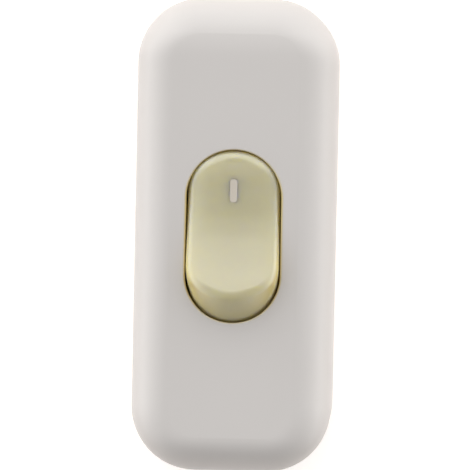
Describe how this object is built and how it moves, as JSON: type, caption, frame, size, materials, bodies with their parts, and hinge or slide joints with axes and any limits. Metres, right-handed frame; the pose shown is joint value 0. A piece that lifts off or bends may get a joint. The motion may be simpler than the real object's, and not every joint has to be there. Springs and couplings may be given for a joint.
{
  "type": "in-line cord switch",
  "caption": "Oblong in-line lamp-cord switch: a white two-part casing with soft edges and a cream rocker with an on mark, which works a see-saw contact inside.",
  "frame": {"origin": "middle of the casing's flat back, on which it lies", "axes": "+Z out of the front, +Y along the casing towards the rocker's marked end, +X across it to the right"},
  "size_m": [0.028, 0.0662, 0.0237],
  "materials": {
    "casing_plastic": "satin white",
    "rocker_plastic": "satin cream",
    "mark_plastic": "matt white",
    "inner_plastic": "matt natural",
    "spring_steel": "drawn wire",
    "brass": "stamped",
    "contact_silver": "bright",
    "screw_steel": "zinc plated"
  },
  "bodies": {
    "casing": {"front_cover": "casing_plastic", "back_cover": "casing_plastic", "fixed_contact_rivet": "contact_silver", "fulcrum_terminal": "brass", "fixed_contact_terminal": "brass", "neutral_bar": "brass", "live_in_block": "brass", "live_out_block": "brass", "neutral_in_block": "brass", "neutral_out_block": "brass", "terminal_screws": "screw_steel", "upper_cord_clamp": "casing_plastic", "lower_cord_clamp": "casing_plastic", "clamp_screws": "screw_steel", "casing_screws": "screw_steel"},
    "rocker": {"rocker": "rocker_plastic", "on_mark": "mark_plastic", "plunger_spring": "spring_steel"},
    "plunger": {"plunger": "inner_plastic"},
    "seesaw": {"seesaw_contact": "brass", "moving_contact_rivet": "contact_silver"}
  },
  "joints": [
    {"name": "rocker_tilt", "type": "hinge", "parent": "casing", "child": "rocker", "pos_m": [0, 0, 0.013], "axis": [1, 0, 0], "range_deg": [0, 20]},
    {"name": "plunger_slide", "type": "slide", "parent": "rocker", "child": "plunger", "axis": [0, 0.1736, 0.9848], "range_m": [0, 0.0008], "stiffness_N_per_m": 600, "springref_m": -0.0015, "deforming": ["plunger_spring"]},
    {"name": "seesaw_tilt", "type": "hinge", "parent": "casing", "child": "seesaw", "pos_m": [0, 0, 0.0053], "axis": [1, 0, 0], "range_deg": [-18, 0]}
  ],
  "couplings": [
    {"joint": "seesaw_tilt", "follows": "rocker_tilt", "ratio": -0.9}
  ]
}
